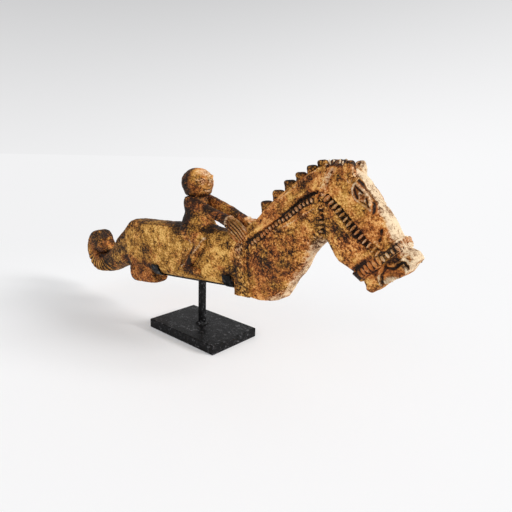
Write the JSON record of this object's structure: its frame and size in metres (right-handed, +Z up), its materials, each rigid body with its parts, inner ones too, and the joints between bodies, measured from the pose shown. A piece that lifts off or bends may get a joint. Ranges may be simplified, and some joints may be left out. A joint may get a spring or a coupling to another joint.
{
  "type": "carved horse and rider figurine",
  "caption": "Long carved wooden horse with a scroll tail, knobbed mane and small seated rider, cradled on a black steel stand with a rectangular base.",
  "frame": {"origin": "centre of the base plate's underside", "axes": "+Z up, +X along the horse towards its head, +Y to the horse's left side"},
  "size_m": [0.4456, 0.064, 0.1921],
  "materials": {
    "carved_wood": "old hardwood with a worn ochre wash and dark patina in the cuts, matt",
    "blackened_steel": "fine-textured black, low sheen"
  },
  "bodies": {
    "stand": {"base_plate": "blackened_steel", "post": "blackened_steel", "foot_weld": "blackened_steel", "cradle_strip": "blackened_steel", "front_clip": "blackened_steel", "rear_clip": "blackened_steel"},
    "figure": {"trunk": "carved_wood", "left_hind_leg": "carved_wood", "right_hind_leg": "carved_wood", "tail": "carved_wood", "neck": "carved_wood", "left_foreleg": "carved_wood", "right_foreleg": "carved_wood", "mane_knob_1": "carved_wood", "mane_knob_2": "carved_wood", "mane_knob_3": "carved_wood", "mane_knob_4": "carved_wood", "mane_knob_5": "carved_wood", "mane_knob_6": "carved_wood", "head": "carved_wood", "left_ear": "carved_wood", "right_ear": "carved_wood", "rider_torso": "carved_wood", "rider_head": "carved_wood", "rider_left_arm": "carved_wood", "rider_right_arm": "carved_wood", "rider_left_leg": "carved_wood", "rider_right_leg": "carved_wood"}
  },
  "joints": [
    {"name": "figure_lift", "type": "slide", "parent": "stand", "child": "figure", "axis": [-0.1045, 0, 0.9945], "range_m": [0, 0.06]}
  ]
}
